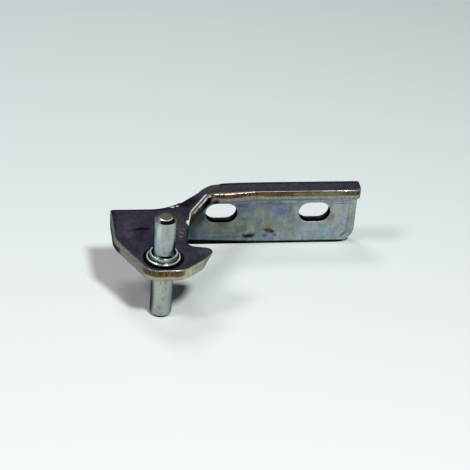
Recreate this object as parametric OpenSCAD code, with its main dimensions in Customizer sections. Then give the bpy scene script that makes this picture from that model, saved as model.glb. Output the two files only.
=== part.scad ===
// Middle hinge of a refrigerator: a stamped and bent sheet bracket with a turned hinge pin.
// The origin is the pin axis at the underside of the leaf, +Z points up along the pin.
// The wall face of the mounting flange looks along +Y, the pin stands in front of it.
// Heights are stated from the top face of the leaf, which lies one sheet thickness up.

/* [Display] */
// Which piece is drawn

/* [Steel sheet] */
// Thickness of the sheet, mm
sheet_t = 3.5; // [3:0.1:4.2]
// Inner radius of the bend between leaf and flange, mm
bend_r = 0.8; // [0.5:0.1:1.8]

/* [Leaf] */
// Pin axis to the left edge of the wing, mm
wing_left = 13.3; // [11:0.1:16]
// Pin axis to the back edge of the wing, mm
wing_back = 26.4; // [24:0.1:29]
// Where the left edge turns into the front slope, mm behind the axis
wing_shoulder = 10.3; // [8:0.1:13]
// Radius of that turn, mm
wing_round = 8; // [4:0.5:9]
// Pin axis to the front edge of the boss, mm
boss_front = 6.8; // [6.2:0.1:9]
// Left end of the straight front edge, mm left of the axis
boss_left = 4.7; // [4:0.1:6]
// Right end of the straight front edge, mm right of the axis
boss_right = 5.1; // [4.5:0.1:6.5]
// Radius of the left front corner, mm
boss_left_round = 4.6; // [3:0.1:5.5]
// Radius of the right front corner, mm
boss_right_round = 6; // [3:0.1:7]
// Sharp corner of the lobe before rounding, mm right of the axis
lobe_right = 17.6; // [16:0.1:20]
// The same corner, mm behind the axis
lobe_back = 3.8; // [2.5:0.1:4.5]
// Radius of the lobe tip, mm
lobe_round = 2.3; // [1.5:0.1:3]
// Radius of the back left corner of the wing, mm
corner_round = 0.8; // [0.5:0.1:1.5]

/* [Neck] */
// Inner corner between lobe and neck, mm right of the axis
neck_foot = 7.45; // [6.5:0.05:9]
// The same corner, mm behind the axis
neck_start = 6.4; // [5.5:0.1:7.5]
// Radius of that corner, mm
neck_foot_round = 1.2; // [0.5:0.1:2]
// Where the right edge of the neck turns outwards, mm behind the axis
neck_turn = 22.2; // [19:0.1:24]
// The same turn, mm right of the axis
neck_right = 10.35; // [9.5:0.05:12]
// Radius of that turn, mm
neck_turn_round = 10; // [4:0.5:12]
// Where the slope behind the neck would meet the back edge of the wing, mm right of the axis
neck_left = 4.8; // [4:0.05:6.5]
// Where that slope would meet the line of the bend, mm right of the axis
neck_top = 19.2; // [18.5:0.1:20.5]
// Radius of that outer turn, mm
neck_top_round = 6; // [1:0.5:7]
// Radius where wing and neck meet, mm
neck_back_round = 15.5; // [6:0.5:18]

/* [Lip] */
// Inner corner between neck and lip, mm right of the axis
lip_left = 18.45; // [17:0.05:20]
// Radius of that corner, mm
lip_left_round = 3; // [1:0.1:3.5]
// Depth of the strip before the flange face, mm
lip_depth = 4.6; // [3:0.1:6]
// How much deeper the strip is at the neck, mm
lip_swell = 1.1; // [0.4:0.1:1.6]
// Where the swell starts to fade, mm right of the axis
swell_start = 24.5; // [23:0.1:27]
// Where the swell has faded, mm right of the axis
swell_end = 33; // [31:0.1:38]
// Radius of the front corner at the free end, mm
lip_end_round = 2.2; // [0.5:0.1:3]

/* [Mounting flange] */
// Pin axis to the front face of the flange, mm
flange_face = 40.8; // [40:0.1:44]
// Left end of the flange, mm right of the axis
flange_left = 9.8; // [8:0.1:11]
// Right end of the flange, mm right of the axis
flange_right = 66.9; // [64:0.1:72]
// Top face of the leaf to the lower edge of the flange, mm
flange_drop = 22.2; // [20.5:0.1:25]
// Radius of the two lower corners, mm
flange_round = 5.5; // [2:0.1:6.5]
// Left end of the bend, mm right of the axis
bend_start = 22.5; // [21.5:0.1:24]
// Height of the relief cut below that end of the bend, mm
relief_h = 0.9; // [0.5:0.1:1.2]
// Width of the sloped upper left corner, mm
slope_w = 8; // [5:0.1:8.5]
// Height of that corner, mm
slope_h = 5.6; // [4:0.1:7]
// Radius of its two turns, mm
slope_round = 2.5; // [1:0.1:3]

/* [Slots] */
// Width of a fixing slot, mm
slot_w = 7; // [5.5:0.1:8]
// Length of a fixing slot over its round ends, mm
slot_len = 10.2; // [9:0.1:12]
// Distance between the two slot centres, mm
slot_pitch = 30; // [27:0.5:33]
// Pin axis to the middle between the slots, mm
slot_mid = 38.4; // [36:0.1:40]
// Leaf top to the slot centres, mm
slot_drop = 10.75; // [10:0.05:12.5]

/* [Hinge pin] */
// Diameter of both stubs, mm
pin_d = 6.5; // [5.5:0.1:6.8]
// Diameter of the pressed seat and of the bore in the leaf, mm
seat_d = 7; // [6.9:0.1:8]
// Leaf top to the upper end of the pin, mm
pin_up = 14; // [10:0.1:20]
// Leaf top to the lower end of the pin, mm
pin_down = 19.2; // [12:0.1:21]
// Width of the lead chamfer round the upper end, mm
lead_top = 1.5; // [0.5:0.1:2]
// Height of that chamfer, mm
lead_top_h = 0.65; // [0.4:0.05:1.5]
// Width of the lead chamfer round the lower end, mm
lead_low = 0.8; // [0.4:0.1:1.5]
// Height of that chamfer, mm
lead_low_h = 0.8; // [0.4:0.1:1.5]

/* [Collar] */
// Diameter of the lower step, mm
collar_d = 10.2; // [9.8:0.1:12]
// Height of the lower step, mm
collar_h = 0.8; // [0.5:0.05:1.2]
// Diameter of the upper step, mm
step_d = 8.5; // [8.1:0.1:9]
// Height of the upper step, mm
step_h = 1.3; // [0.8:0.05:2]
// Radius of the rim of the lower step, mm
collar_rim = 0.35; // [0.1:0.05:0.45]
// Radius of the rim of the upper step, mm
step_rim = 0.25; // [0.1:0.05:0.4]

/* [Finish] */
// Colour of the zinc plated sheet
sheet_colour = [0.50, 0.49, 0.46];
// Colour of the turned pin
pin_colour = [0.70, 0.72, 0.72];

/* [Hidden] */
// Segments of a full circle
$fn = 96;
// How far a corner arc reaches past its edges, so that they cross cleanly
arc_lap = 0.005;
pin_r = pin_d / 2;
// Outer radius of the bend
bend_out = sheet_t + bend_r;
// Line where the flat lip ends and the bend begins
bend_y = flange_face - bend_r;
// Front edge of the lip, away from the neck and next to it
lip_front = flange_face - lip_depth;
lip_deep = lip_front - lip_swell;
// Free upper edge of the flange beside the bend
free_edge = bend_out + relief_h;

// Corners of the leaf seen from above, counter-clockwise, each with its radius
leaf_corners = [
    [-wing_left, wing_back, corner_round],
    [-wing_left, wing_shoulder, wing_round],
    [-boss_left, -boss_front, boss_left_round],
    [boss_right, -boss_front, boss_right_round],
    [lobe_right, lobe_back, lobe_round],
    [neck_foot, neck_start, neck_foot_round],
    [neck_right, neck_turn, neck_turn_round],
    [lip_left, lip_deep, lip_left_round],
    [swell_start, lip_deep, 0],
    [swell_end, lip_front, 4],
    [flange_right, lip_front, lip_end_round],
    [flange_right, bend_y, 0],
    [neck_top, bend_y, neck_top_round],
    [neck_left, wing_back, neck_back_round]
];

// Corners of the flange seen from the front, counter-clockwise, each with its radius
flange_corners = [
    [flange_left, -flange_drop, flange_round],
    [flange_right, -flange_drop, flange_round],
    [flange_right, 1, 0],
    [bend_start, 1, 0],
    [bend_start, -free_edge, 0.6],
    [flange_left + slope_w, -free_edge, slope_round],
    [flange_left, -free_edge - slope_h, slope_round]
];

// Geometry of one rounded corner
function unit(v) = v / norm(v);
function flat(p) = [p[0], p[1]];
function back_dir(c, i) = unit(flat(c[(i + len(c) - 1) % len(c)]) - flat(c[i]));
function next_dir(c, i) = unit(flat(c[(i + 1) % len(c)]) - flat(c[i]));
function half_angle(c, i) = acos(back_dir(c, i) * next_dir(c, i)) / 2;
function run_in(c, i) = c[i][2] / tan(half_angle(c, i));
function tangent_in(c, i) = flat(c[i]) + back_dir(c, i) * run_in(c, i);
function tangent_out(c, i) = flat(c[i]) + next_dir(c, i) * run_in(c, i);
function arc_centre(c, i) =
    flat(c[i]) + unit(back_dir(c, i) + next_dir(c, i)) * c[i][2] / sin(half_angle(c, i));
function turns_left(c, i) = cross(-back_dir(c, i), next_dir(c, i)) > 0;

// Window round one outer corner, a little wider than its arc and closed inside the plate
function window(c, i) =
    let (centre = arc_centre(c, i), reach = 0.2 * c[i][2])
    let (a = tangent_in(c, i) + back_dir(c, i) * reach)
    let (b = tangent_out(c, i) + next_dir(c, i) * reach)
    [
        a + (centre - a) * 0.1,
        a - (centre - a) * 0.2,
        flat(c[i]) - (centre - flat(c[i])) * 0.2,
        b - (centre - b) * 0.2,
        b + (centre - b) * 0.1
    ];

// Plate outline with true arcs at its corners
module rounded_plate(c) {
    difference() {
        union() {
            polygon([for (i = [0 : len(c) - 1]) for (p = c[i][2] > 0
                ? [tangent_in(c, i), tangent_out(c, i)]
                : [flat(c[i])]) p]);
            for (i = [0 : len(c) - 1])
                if (c[i][2] > 0 && turns_left(c, i))
                    intersection() {
                        translate(arc_centre(c, i)) circle(r = c[i][2] + arc_lap);
                        polygon(window(c, i));
                    }
        }
        for (i = [0 : len(c) - 1])
            if (c[i][2] > 0 && !turns_left(c, i))
                translate(arc_centre(c, i)) circle(r = c[i][2] + arc_lap);
    }
}

// Flat leaf: wing, boss, lobe, neck and lip in one plane
module leaf() {
    translate([0, 0, -sheet_t])
        linear_extrude(height = sheet_t)
            rounded_plate(leaf_corners);
}

// Section of the sheet across the bend, drawn in depth and height
module bend_section() {
    translate([bend_y - 1, -sheet_t])
        square([1, sheet_t]);
    difference() {
        translate([bend_y, -bend_out]) circle(r = bend_out);
        translate([bend_y, -bend_out]) circle(r = bend_r);
        translate([bend_y - 2 * bend_out, -3 * bend_out])
            square([2 * bend_out, 4 * bend_out]);
        translate([bend_y - 1, -3 * bend_out])
            square([2 * bend_out + 1, 2 * bend_out]);
    }
    translate([flange_face, -flange_drop])
        square([sheet_t, flange_drop - bend_out]);
}

// Bend and flange: the section run along the hinge and trimmed to the flange outline
module bent_flange() {
    intersection() {
        translate([flange_left, 0, 0])
            rotate([90, 0, 90])
                linear_extrude(height = flange_right - flange_left)
                    bend_section();
        translate([0, flange_face + 2 * sheet_t, 0])
            rotate([90, 0, 0])
                linear_extrude(height = 4 * sheet_t + 2 * bend_r)
                    rounded_plate(flange_corners);
    }
}

// One fixing slot, round at both ends, cut through the flange
module slot_cutter() {
    half = (slot_len - slot_w) / 2;
    for (side = [-1, 1])
        translate([side * half, 0, 0])
            rotate([-90, 0, 0])
                cylinder(d = slot_w, h = sheet_t + 2);
    translate([-half, 0, -slot_w / 2])
        cube([2 * half, sheet_t + 2, slot_w]);
}

// The whole sheet part with the bore for the pin and the fixing slots
module bracket() {
    color(sheet_colour)
    translate([0, 0, sheet_t])
        difference() {
            union() {
                leaf();
                bent_flange();
            }
            translate([0, 0, -sheet_t - 1])
                cylinder(d = seat_d, h = sheet_t + 2);
            for (side = [-1, 1])
                translate([slot_mid + side * slot_pitch / 2, flange_face - 1, -slot_drop])
                    slot_cutter();
        }
}

// Half section of the pin: lower stub, pressed seat, stepped collar and upper stub
module pin_section() {
    collar_r = collar_d / 2;
    step_r = step_d / 2;
    step_top = collar_h + step_h;
    polygon([
        [0, -pin_down],
        [pin_r - lead_low, -pin_down],
        [pin_r, -pin_down + lead_low_h],
        [pin_r, -sheet_t],
        [seat_d / 2, -sheet_t],
        [seat_d / 2, 0],
        [collar_r, 0],
        [collar_r, collar_h - collar_rim],
        [collar_r - collar_rim, collar_h],
        [step_r, collar_h],
        [step_r, step_top - step_rim],
        [step_r - step_rim, step_top],
        [pin_r, step_top],
        [pin_r, pin_up - lead_top_h],
        [pin_r - lead_top, pin_up],
        [0, pin_up]
    ]);
    translate([collar_r - collar_rim, collar_h - collar_rim]) circle(r = collar_rim);
    translate([step_r - step_rim, step_top - step_rim]) circle(r = step_rim);
}

// Pin turned about its axis, seated in the leaf
module hinge_pin() {
    color(pin_colour)
    translate([0, 0, sheet_t])
        rotate_extrude()
            pin_section();
}

bracket();
hinge_pin();
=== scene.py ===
"""Looks of a refrigerator's middle hinge: a stamped, bent and zinc plated bracket with a turned pin."""

import math

import bmesh
import bpy
import numpy as np
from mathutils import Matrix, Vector
from mathutils.geometry import delaunay_2d_cdt


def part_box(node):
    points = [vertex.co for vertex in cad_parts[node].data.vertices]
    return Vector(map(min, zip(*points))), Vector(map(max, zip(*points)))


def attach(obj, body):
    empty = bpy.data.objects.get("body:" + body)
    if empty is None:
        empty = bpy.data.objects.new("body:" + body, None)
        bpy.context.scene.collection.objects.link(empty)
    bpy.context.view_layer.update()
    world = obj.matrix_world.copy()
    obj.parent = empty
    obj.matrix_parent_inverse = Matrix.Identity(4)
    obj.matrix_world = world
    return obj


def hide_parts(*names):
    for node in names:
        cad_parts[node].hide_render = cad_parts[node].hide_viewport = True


bl_info = {
    "name": "Refrigerator middle hinge",
    "version": (1, 0, 0),
    "blender": (4, 5, 0),
    "location": "3D View > Sidebar > Hinge",
    "description": "Builds the plated bracket, the turned pin and the studio round them",
    "category": "Object",
}

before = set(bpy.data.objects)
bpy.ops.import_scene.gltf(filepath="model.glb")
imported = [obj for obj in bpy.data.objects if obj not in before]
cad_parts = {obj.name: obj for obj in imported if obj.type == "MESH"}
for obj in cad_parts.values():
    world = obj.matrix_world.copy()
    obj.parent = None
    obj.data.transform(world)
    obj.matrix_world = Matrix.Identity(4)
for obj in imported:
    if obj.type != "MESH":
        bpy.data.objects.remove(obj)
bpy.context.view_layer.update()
BRACKET_LOW, BRACKET_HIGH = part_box("bracket")
MM = 0.001
SAME_POINT = 1e-6  # Points of an outline are one when they are nearer than this, in mm.
DOUBLE_GAP = 1e-7  # Points of a mesh are joined when they are nearer than this, in metres.
SLOT_FACETS = 24  # Facets of a slot's round end.
RIM_STRIP = 0.2  # Narrow strip of both faces beside the punched edge, in mm.
RIM_GAP = 0.55  # How far the net's inner points stay from the rim, as a share of the mesh step.
WAVE_SCALE, WAVE_SEED = 90.0, 3.0  # The slow waves in the sheet.
GRAZING_TINT = (0.3, 0.3, 0.3, 1)  # Keeps the metals dull where they are seen at a low angle.


# Sizes and colours.


def place(name, default, text, **limits):
    """A position in metres whose default is written in millimetres."""
    settings = {"unit": "LENGTH", "precision": 5, **limits}
    return bpy.props.FloatProperty(name=name, description=text, default=default * MM, **settings)


def size(name, default, text):
    """A length, which is never below zero."""
    return place(name, default, text, min=0.0)


def colour(name, default, text):
    """A linear colour."""
    return bpy.props.FloatVectorProperty(
        name=name, description=text, default=default, size=3, min=0.0, max=1.0, subtype="COLOR"
    )


def amount(name, default, text, unit="NONE"):
    """A number that is never below zero."""
    return bpy.props.FloatProperty(name=name, description=text, default=default, min=0.0, unit=unit)


class HingeSheetSizes(bpy.types.PropertyGroup):
    """Sizes of the stamped sheet."""

    thickness: size("Thickness", 3.5, "Thickness of the sheet")
    bend_radius: size("Bend radius", 0.8, "Inner radius of the bend")
    bend_line: place("Bend line", 40.0, "Where the flat lip ends, behind the pin axis")
    bend_length: size("Bend length", 3.8, "Length of the bend in the flat blank")
    drop: size("Flange drop", 22.2, "Top of the leaf to the lower edge of the flange")
    roll_width: size("Die roll width", 0.5, "How far the punched edge is rolled over, across")
    roll_depth: size("Die roll depth", 0.42, "How far the punched edge is rolled over, down")
    neck_roll: size("Neck roll", 0.75, "How much wider the die roll is along the inside of the neck")
    wing_roll: size("Wing roll", 0.35, "How much wider the die roll is along the left of the leaf")
    tear: size("Tear", 0.45, "How far the torn edge swells out on the left of the leaf")
    tip_draw: size("Tip draw", 1.3, "How far the foot of the cut is drawn in at the lobe's tip")
    burr: size("Burr edge", 0.12, "Radius left on the lower edge")
    swell: size("Bend swell", 0.36, "How far the outside of the bend stands out")
    sink: size("Bend end sink", 0.33, "How much less it stands out at the free end of the bend")
    sink_reach: size("Bend end reach", 4.6, "How far the free end is drawn in")
    ripple: size("Ripple", 0.03, "Height of the slow waves in the sheet")
    mesh_step: size("Mesh step", 0.8, "Spacing of the mesh in the flat blank")
    slot_length: size("Slot length", 10.2, "Length of each slot over its round ends")
    slot_width: size("Slot width", 7.0, "Width of each slot")
    slot_drop: size("Slot drop", 10.75, "Top of the leaf to the middle of the slots")
    near_slot: place("Near slot", 23.4, "Middle of the slot beside the neck")
    far_slot: place("Far slot", 53.4, "Middle of the slot at the free end")
    bore: size("Bore", 7.0, "Width of the round hole for the pin")
    relief: place("Relief", 22.5, "Where the bend ends beside the neck")


class HingePinSizes(bpy.types.PropertyGroup):
    """Sizes of the turned pin."""

    stub: size("Stub radius", 3.25, "Radius of both stubs")
    seat: size("Seat radius", 3.5, "Radius of the pressed seat in the leaf")
    top: place("Upper end", 17.5, "Height of the upper end above the underside of the leaf")
    low: place("Lower end", -15.7, "Height of the lower end, below the underside of the leaf")
    top_chamfer: size("Upper chamfer width", 1.5, "Lead chamfer of the upper end, across")
    top_chamfer_h: size("Upper chamfer height", 0.65, "Lead chamfer of the upper end, down")
    low_chamfer: size("Lower chamfer", 0.8, "Lead chamfer of the lower end")
    collar: size("Collar radius", 5.1, "Radius of the lower step of the collar")
    collar_h: size("Collar height", 0.8, "Height of the lower step")
    step: size("Step radius", 4.25, "Radius of the upper step")
    step_h: size("Step height", 1.3, "Height of the upper step")
    groove: size("Groove", 0.22, "Width and depth of the turned grooves")
    segments: bpy.props.IntProperty(name="Segments", description="Facets round the pin", default=128, min=16)
    bevel: size("Collar bevel", 0.15, "Bevel round the foot of the collar")


class HingeColours(bpy.types.PropertyGroup):
    """Tones of the plated sheet."""

    # The leaf's dark tone is painted reflection: the top face mirrors dark surroundings, and is the same zinc as
    # the flange.
    leaf: colour("Leaf", (0.054, 0.049, 0.068), "Violet-grey passivation on top of the sheet")
    leaf_dark: colour("Leaf, dark", (0.027, 0.023, 0.034), "Where the passivation on the leaf is thickest")
    zinc_dark: colour("Zinc, dark", (0.075, 0.098, 0.102), "Dull end of the flange, beside the neck")
    zinc_light: colour("Zinc, light", (0.300, 0.350, 0.360), "Bright end of the flange")
    bare: colour("Bare edge", (0.50, 0.49, 0.41), "Burnished steel on the rolled edge")
    worn: colour("Worn edge", (0.120, 0.130, 0.105), "Rolled edge where the plating is thin")
    cut: colour("Cut edge", (0.31, 0.305, 0.25), "Lower half of the punched edge")
    rust: colour("Rust", (0.150, 0.088, 0.036), "Rust in the torn part of the punched edge")
    # Near-black for stains and slot walls, and also for painted shade: contact shadows, and shade under the lip
    # and round the collar.
    soot_and_shade: colour("Soot", (0.004, 0.004, 0.005), "Slot walls, stains and contact lines")
    blue: colour("Blue", (0.115, 0.185, 0.320), "Blue passivation colour")
    violet: colour("Violet", (0.150, 0.130, 0.225), "Violet passivation colour")
    teal: colour("Teal", (0.070, 0.125, 0.145), "Green-blue passivation colour")
    olive: colour("Olive", (0.180, 0.190, 0.105), "Yellow-green passivation colour")
    gold: colour("Gold", (0.270, 0.190, 0.070), "Golden passivation colour")
    cream: colour("Cream", (0.440, 0.460, 0.370), "Thin, pale passivation")
    pink: colour("Pink", (0.360, 0.270, 0.270), "Pinkish passivation colour")
    ice: colour("Ice blue", (0.270, 0.380, 0.480), "Pale blue passivation colour")
    # Painted highlight colour: bright lines and glints on the neck's edge and on the leaf.
    painted_highlight: colour("Shine", (0.90, 0.90, 0.80), "Polished lines along the neck's rolled edge")
    # Beside the pin this brownish grey is a painted reflection of the pin.
    umber: colour("Umber", (0.075, 0.072, 0.066), "Brownish-grey film beside the pin")
    lip: colour("Lip", (0.072, 0.068, 0.086), "Top of the lip, paler than the leaf")
    # Painted dark reflection: the roll along the back and left of the leaf faces away from the light.
    rim: colour("Back rim", (0.016, 0.024, 0.026), "Dark rim along the back and left of the leaf")
    torn: colour("Torn edge", (0.020, 0.015, 0.010), "Darkest parts of the torn edge")
    moss: colour("Moss", (0.165, 0.160, 0.105), "Torn edge of the lip towards its right end")
    moss_dark: colour("Moss, dark", (0.045, 0.042, 0.030), "Darkest parts of it")
    brown: colour("Brown", (0.108, 0.080, 0.045), "Torn edge round the boss")
    brown_dark: colour("Brown, dark", (0.030, 0.020, 0.012), "Darkest parts of it")
    brown_light: colour("Brown, light", (0.240, 0.180, 0.085), "Lightest parts of it")
    straw: colour("Straw", (0.36, 0.33, 0.21), "Burnished foot of the boss's edge")
    blush: colour("Blush", (0.275, 0.235, 0.215), "Cut edge in the left half of the lip")
    slate: colour("Slate", (0.125, 0.145, 0.165), "Lower rim of the lip")
    lobe: colour("Lobe", (0.52, 0.56, 0.37), "Bright edge of the lobe")
    lobe_tip: colour("Lobe's tip", (0.33, 0.37, 0.34), "Edge at the lobe's tip")
    lobe_torn: colour("Lobe, torn", (0.17, 0.19, 0.13), "Torn parts of the lobe's edge")
    wing: colour("Wing", (0.255, 0.270, 0.245), "Edge of the wing, left of the boss")
    # Painted shade: the lower half of the wing's left edge mirrors the shadowed floor.
    wing_shade: colour("Wing, dark", (0.035, 0.040, 0.040), "Lower half of the wing's left edge")
    neck: colour("Neck", (0.062, 0.070, 0.060), "Punched edge along the neck")
    slope: colour("Neck's slope", (0.130, 0.118, 0.098), "Rolled slope along the neck")
    slot: colour("Slot wall", (0.026, 0.021, 0.024), "Front part of the slots' walls")


class HingePinColours(bpy.types.PropertyGroup):
    """Tones of the turned pin."""

    body: colour("Pin", (0.340, 0.400, 0.385), "Plated steel of the pin")
    cool: colour("Cool streaks", (0.300, 0.420, 0.500), "Blue streaks along the stubs")
    warm: colour("Warm streaks", (0.415, 0.425, 0.380), "Yellow streaks along the stubs")
    end: colour("End face", (0.140, 0.140, 0.120), "Turned upper end of the pin")
    # This near-black is painted shade in the grooves and under the collar, and painted dark reflection on the
    # chamfers and at the stubs' sides.
    soot_and_shade: colour("Groove", (0.006, 0.006, 0.005), "Grease in the grooves and on the chamfer")
    gold: colour("Gold", (0.340, 0.240, 0.090), "Golden stain below the leaf")
    # Bright also paints highlights on the upper stub, the chamfer and the collar.
    bright: colour("Bright", (0.560, 0.620, 0.520), "Cleanest plating, near the upper end")
    lilac: colour("Lilac", (0.400, 0.370, 0.410), "Lilac streak along the upper stub")
    sea: colour("Sea green", (0.240, 0.380, 0.400), "Green-blue streak on the right")
    chamfer: colour("Chamfer", (0.125, 0.110, 0.098), "Worn lead chamfer of the upper end")
    # Painted dark reflection on the chamfer's front.
    chamfer_dark_reflection: colour("Chamfer, dark", (0.040, 0.033, 0.028), "The part of it that faces the camera")


class HingeStudio(bpy.types.PropertyGroup):
    """Camera, lamps and floor."""

    camera_place: bpy.props.FloatVectorProperty(
        name="Camera place",
        description="Where the camera stands",
        default=(-0.05691676, -0.40474573, 0.27310092),
        subtype="TRANSLATION",
    )
    camera_turn: bpy.props.FloatVectorProperty(
        name="Camera turn",
        description="How the camera is turned",
        default=(1.00258872, -0.07223711, -0.14296803),
        subtype="EULER",
    )
    lens: amount("Lens", 129.02, "Focal length on a 36 mm sensor", "CAMERA")
    floor_near: colour("Floor, near", (0.785, 0.823, 0.810), "Colour of the floor in front of the hinge")
    floor_far: colour("Floor, far", (0.735, 0.82, 0.815), "Colour of the floor behind the hinge")
    backdrop: colour("Backdrop", (0.80, 0.86, 0.86), "What the camera and the metal see above the floor")
    even: amount("Even light", 0.01, "Strength of the light from all sides")
    main_lamp: amount("Main lamp", 4.2, "Power of the lamp above the front", "POWER")
    side_lamp: amount("Side lamp", 1.75, "Power of the lamp on the left", "POWER")
    back_lamp: amount("Back lamp", 1.15, "Power of the lamp behind", "POWER")


# Helpers that add nodes and objects.


class Tree:
    """Short calls that add nodes to a shader or geometry tree and join them up."""

    def __init__(self, tree):
        self.tree = tree

    def add(self, kind, inputs=None, **settings):
        """A new node with its settings and inputs."""
        node = self.tree.nodes.new(kind)
        for key, value in settings.items():
            setattr(node, key, value)
        for key, value in (inputs or {}).items():
            self.feed(node.inputs[key], value)
        return node

    def out(self, kind, inputs=None, **settings):
        """The first output of a new node."""
        return self.add(kind, inputs, **settings).outputs[0]

    def feed(self, socket, value):
        """Joins another node's output to an input, or sets the input to a plain value."""
        if isinstance(value, bpy.types.NodeSocket):
            self.tree.links.new(value, socket)
        elif value is not None:
            socket.default_value = value

    def math(self, operation, *values, clamp=False):
        return self.out("ShaderNodeMath", dict(enumerate(values)), operation=operation, use_clamp=clamp)

    def joined(self, operation, parts):
        """The parts taken together, one after the other."""
        out = parts[0]
        for part in parts[1:]:
            out = self.math(operation, out, part)
        return out

    def plus(self, *parts):
        return self.joined("ADD", parts)

    def less(self, first, second):
        return self.math("SUBTRACT", first, second)

    def times(self, *parts):
        """The product; for masks, what all of them let through."""
        return self.joined("MULTIPLY", parts)

    def most(self, *parts):
        """The largest of the parts."""
        return self.joined("MAXIMUM", parts)

    def smooth(self, value, start, end, low=0.0, high=1.0):
        """Runs from low to high while the value goes from start to end."""
        inputs = {0: value, 1: start, 2: end, 3: low, 4: high}
        return self.out("ShaderNodeMapRange", inputs, interpolation_type="SMOOTHSTEP")

    def fall(self, value, start, end, high=1.0):
        """Runs from high to nothing while the value goes from start to end."""
        return self.smooth(value, start, end, high, 0.0)

    def within(self, value, start, end, blur):
        """One between the start and the end, and none outside."""
        return self.times(self.smooth(value, start - blur, start), self.fall(value, end, end + blur))

    def mix(self, part, first, second, blend="MIX"):
        """A colour between the first and the second, by the part."""
        node = self.add("ShaderNodeMix", data_type="RGBA", blend_type=blend)
        for slot, value in ((0, part), (6, first), (7, second)):
            plain = isinstance(value, (bpy.types.NodeSocket, float, int))
            self.feed(node.inputs[slot], value if plain else (*value, 1))
        return node.outputs[2]

    def paint(self, base, tone, *parts):
        """Lays a tone over the base where all the parts let it through."""
        return self.mix(self.times(*parts), base, tone)

    def shade(self, base, part):
        """The colour made lighter or darker by a number."""
        return self.mix(1.0, base, self.place(part, part, part), "MULTIPLY")

    def ramp(self, value, stops):
        """Colour read from a row of stops."""
        node = self.add("ShaderNodeValToRGB", {0: value})
        row = node.color_ramp.elements
        while len(row) < len(stops):
            row.new(0.5)
        for element, (spot, tone) in zip(row, stops):
            element.position, element.color = spot, (*tone, 1)
        return node.outputs[0]

    def noise(self, at, scale, detail=2.0, seed=0.0, roughness=0.5):
        """Cloudy value round one half."""
        inputs = {"Vector": at, "Scale": scale, "Detail": detail, "W": seed, "Roughness": roughness}
        return self.out("ShaderNodeTexNoise", inputs, noise_dimensions="4D")

    def axes(self, place):
        """The three numbers of a place."""
        return self.add("ShaderNodeSeparateXYZ", {0: place}).outputs

    def place(self, x=None, y=None, z=None):
        """A place made of its numbers."""
        return self.out("ShaderNodeCombineXYZ", {0: x, 1: y, 2: z})

    def vector(self, operation, *values):
        return self.add("ShaderNodeVectorMath", dict(enumerate(values)), operation=operation).outputs

    def stretched(self, at, x, y, z):
        """The same place in other units along each axis."""
        return self.vector("MULTIPLY", at, (x, y, z))[0]

    def length(self, place):
        return self.vector("LENGTH", place)["Value"]


def empty_tree(owner):
    """The node tree of a material or world, with nothing in it yet."""
    owner.use_nodes = True
    owner.node_tree.nodes.clear()
    return Tree(owner.node_tree)


def link(name, data):
    """Puts data into the scene as an object."""
    thing = bpy.data.objects.new(name, data)
    bpy.context.scene.collection.objects.link(thing)
    return thing


# The blank, before it is bent.


def flange_at(s, drop):
    """Developed place of a height on the flange, given as a drop below the leaf's top, all in mm."""
    return (s.bend_line + s.bend_length - s.thickness - s.bend_radius) / MM + drop


def blank_corners(s):
    """Corners of the blank in mm, counter-clockwise seen from above, each with its radius."""
    left, right = BRACKET_LOW.x / MM, BRACKET_HIGH.x / MM
    bend, relief = s.bend_line / MM, s.relief / MM
    lip, lip_deep = bend - 3.8, bend - 4.9
    free = flange_at(s, (s.thickness + s.bend_radius) / MM + 0.9)
    low = flange_at(s, s.drop / MM)
    return [
        (left, 27.0, 0.8),
        (left, 10.3, 8.0),
        (-4.7, -6.8, 4.6),
        (5.4, -6.8, 6.5),
        (12.6, -0.6, 7.0),
        (16.3, 4.7, 2.0),
        (7.45, 6.6, 2.6),
        (10.55, 22.0, 12.0),
        (18.45, lip_deep, 3.0),
        (24.5, lip_deep, 0.0),
        (33.0, lip, 4.0),
        (right, lip, 2.2),
        (right, low, 5.5),
        (9.8, low, 5.5),
        (9.8, free + 5.6, 2.5),
        (17.8, free, 2.5),
        (relief, free, 0.8),
        (relief, bend + 0.9, 1.2),
        (18.3, bend + 0.2, 4.6),
        (4.6, 27.0, 15.5),
    ]


def unit(vector):
    return vector / np.linalg.norm(vector)


def rounded_loop(corners, step):
    """Closed outline with true arcs at its corners, as points no further apart than the step."""
    spots = [np.array(corner[:2]) for corner in corners]
    marks = []
    for i, (_, _, radius) in enumerate(corners):
        if radius == 0:
            marks.append(spots[i])
            continue
        back, ahead = unit(spots[i - 1] - spots[i]), unit(spots[(i + 1) % len(spots)] - spots[i])
        half = math.acos(float(np.clip(back @ ahead, -1, 1))) / 2
        run = radius / math.tan(half)
        centre = spots[i] + unit(back + ahead) * radius / math.sin(half)
        start, end = (math.atan2(*(spots[i] + side * run - centre)[::-1]) for side in (back, ahead))
        turn = (end - start + math.pi) % (2 * math.pi) - math.pi
        pieces = max(4, math.ceil(abs(turn) * max(radius, 1.0) / (step * 0.7)))
        for angle in start + turn * np.arange(pieces + 1) / pieces:
            marks.append(centre + radius * np.array([math.cos(angle), math.sin(angle)]))
    points = []
    for mark, following in zip(marks, marks[1:] + marks[:1]):
        gap = np.linalg.norm(following - mark)
        pieces = math.ceil(gap / step) if gap > SAME_POINT else 0
        points += [mark + (following - mark) * k / pieces for k in range(pieces)]
    return np.array(points)


def slot_loop(x, y, length, width):
    """A slot's outline, run clockwise so that the sheet lies on its left."""
    half, radius = (length - width) / 2, width / 2
    points = []
    for side in (1, -1):
        for k in range(SLOT_FACETS + 1):
            angle = side * math.pi / 2 - math.pi * k / SLOT_FACETS
            points.append((x + side * half + radius * math.cos(angle), y + radius * math.sin(angle)))
    points = np.array(points)
    gap = np.linalg.norm(np.roll(points, -1, 0) - points, axis=1)
    return points[gap > SAME_POINT]


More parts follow.
